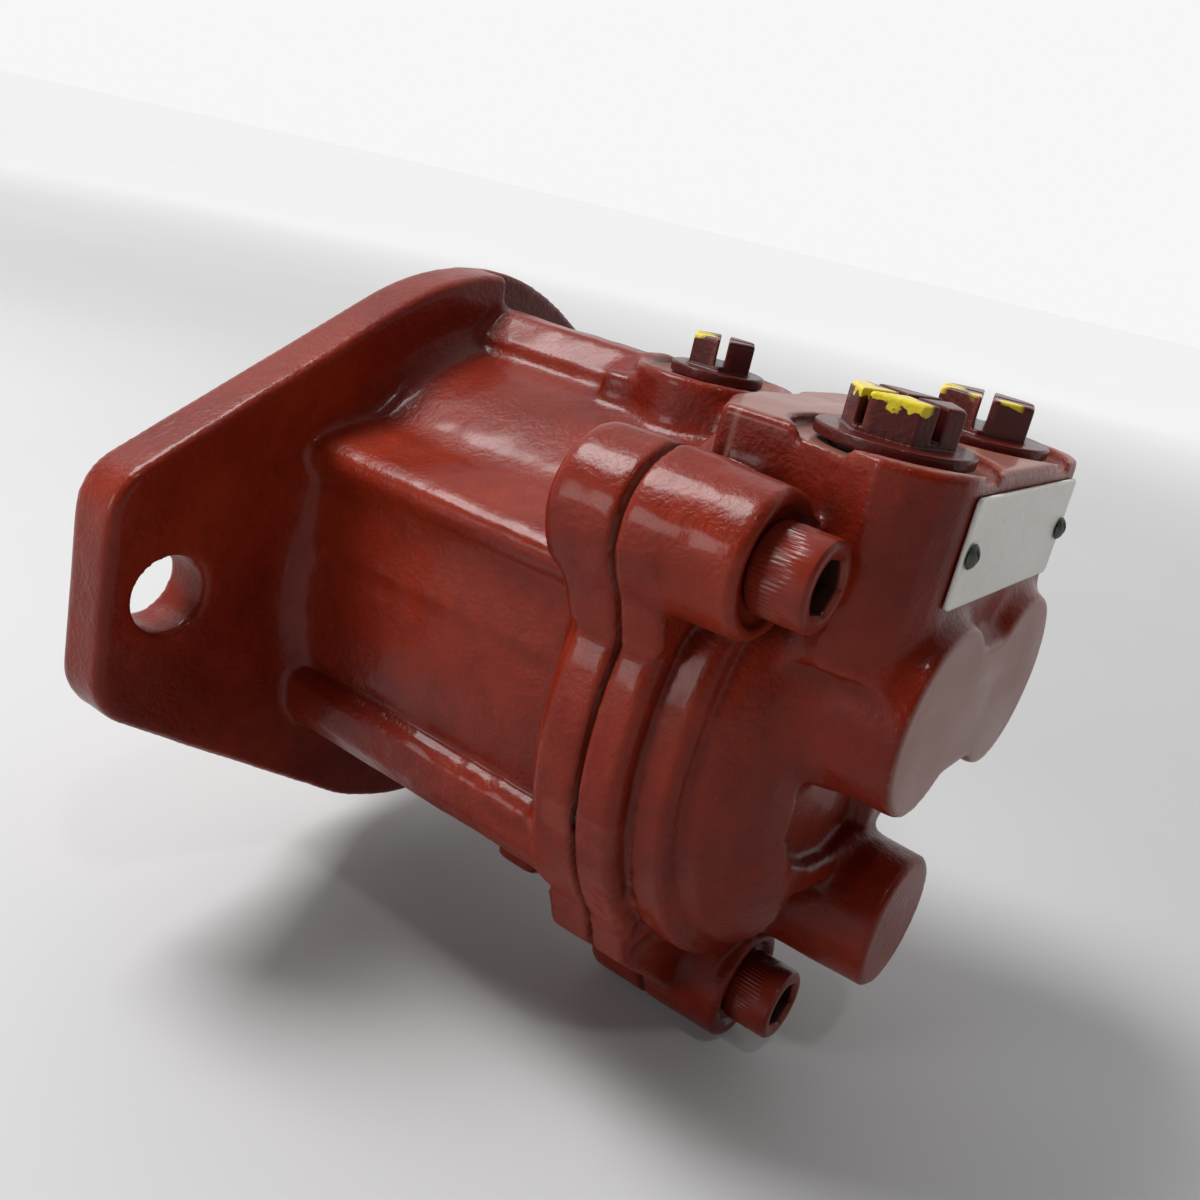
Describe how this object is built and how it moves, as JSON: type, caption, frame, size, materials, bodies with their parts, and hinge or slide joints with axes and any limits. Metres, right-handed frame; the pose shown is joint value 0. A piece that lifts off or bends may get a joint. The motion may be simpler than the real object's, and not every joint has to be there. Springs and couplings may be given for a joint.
{
  "type": "axial piston pump",
  "caption": "In-line axial piston pump with a two-bolt oval mounting flange, keyed drive shaft, ribbed cast housing and a rear cover with two plugged top ports.",
  "frame": {"origin": "where the drive shaft axis meets the mounting face of the flange", "axes": "+X along the shaft axis from the mounting face to the rear cover, +Z towards the ports, flange ears along Y"},
  "size_m": [0.1724, 0.1714, 0.1311],
  "materials": {
    "red_paint": "glossy oxide red enamel over sand-cast iron",
    "painted_screw": "oxide red enamel over a knurled steel screw",
    "painted_plug": "oxide red enamel with yellow inspection paint on the tips",
    "rubber": "matt nitrile rubber",
    "nameplate": "satin blank plate",
    "dark_steel": "dark zinc finish",
    "bronze": "machined bearing bronze",
    "cast_iron": "machined iron",
    "steel": "ground steel"
  },
  "bodies": {
    "pump_body": {"housing": "red_paint", "rear_cover": "red_paint", "cover_screw_1": "painted_screw", "cover_screw_2": "painted_screw", "cover_screw_3": "painted_screw", "cover_o_ring": "rubber", "cover_dowel_1": "steel", "cover_dowel_2": "steel", "nameplate": "nameplate", "nameplate_screw_1": "dark_steel", "nameplate_screw_2": "dark_steel", "shaft_seal": "rubber", "seal_retaining_ring": "steel", "bearing_outer_race": "steel", "bearing_roller_ring": "steel", "rear_needle_bearing": "steel", "swashplate": "cast_iron", "wear_plate": "bronze", "swashplate_pin_1": "steel", "swashplate_pin_2": "steel", "shoe_retainer_plate": "steel", "piston_shoe_1": "bronze", "piston_shoe_2": "bronze", "piston_shoe_3": "bronze", "piston_shoe_4": "bronze", "piston_shoe_5": "bronze", "piston_shoe_6": "bronze", "piston_shoe_7": "bronze", "piston_shoe_8": "bronze", "piston_shoe_9": "bronze", "piston_1": "steel", "piston_2": "steel", "piston_3": "steel", "piston_4": "steel", "piston_5": "steel", "piston_6": "steel", "piston_7": "steel", "piston_8": "steel", "piston_9": "steel", "cylinder_block": "cast_iron", "retainer_hub": "steel", "spring_washer_front": "steel", "block_spring": "steel", "spring_washer_rear": "steel", "valve_plate": "bronze"},
    "shaft": {"drive_shaft": "steel", "shaft_key": "steel", "bearing_inner_race": "steel"},
    "left_port_plug": {"port_plug_left": "painted_plug", "port_plug_left_o_ring": "rubber"},
    "right_port_plug": {"port_plug_right": "painted_plug", "port_plug_right_o_ring": "rubber"},
    "drain_port_plug": {"drain_plug": "painted_plug", "drain_plug_o_ring": "rubber"}
  },
  "joints": [
    {"name": "shaft_spin", "type": "hinge", "parent": "pump_body", "child": "shaft", "pos_m": [0, 0, 0], "axis": [1, 0, 0], "continuous": true},
    {"name": "left_plug_removal", "type": "slide", "parent": "pump_body", "child": "left_port_plug", "axis": [0, 0, 1], "range_m": [0, 0.03]},
    {"name": "right_plug_removal", "type": "slide", "parent": "pump_body", "child": "right_port_plug", "axis": [0, 0, 1], "range_m": [0, 0.03]},
    {"name": "drain_plug_removal", "type": "slide", "parent": "pump_body", "child": "drain_port_plug", "axis": [0, 0, 1], "range_m": [0, 0.025]}
  ]
}
